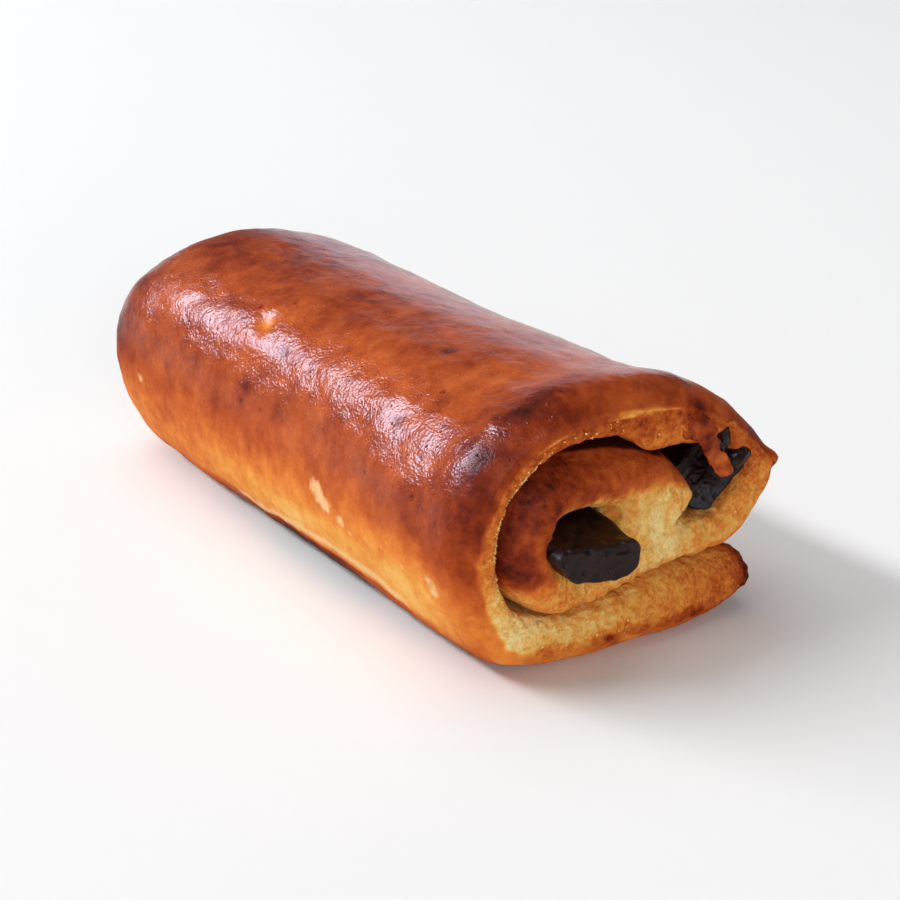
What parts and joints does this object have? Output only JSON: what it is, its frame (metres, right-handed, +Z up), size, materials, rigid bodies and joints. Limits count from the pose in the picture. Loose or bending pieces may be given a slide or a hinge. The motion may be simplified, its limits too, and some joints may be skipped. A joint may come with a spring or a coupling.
{
  "type": "gluten-free pain au chocolat",
  "caption": "Baked roll of browned dough wound in a spiral round dark chocolate bars that show at its open ends, with a folded flap under one side.",
  "frame": {"origin": "middle of the bounding box, on the flat base", "axes": "+X along the roll towards its better end, +Y towards the edge of the flap, +Z up"},
  "size_m": [0.1204, 0.0576, 0.0416],
  "materials": {
    "crust": "egg-washed, oven-browned and softly glossy, pale and matt where the crumb shows",
    "chocolate": "dark baked chocolate, satin with small pits"
  },
  "bodies": {
    "root": {"dough_roll": "crust", "chocolate_bar_inner": "chocolate", "chocolate_bar_outer": "chocolate"}
  },
  "joints": []
}
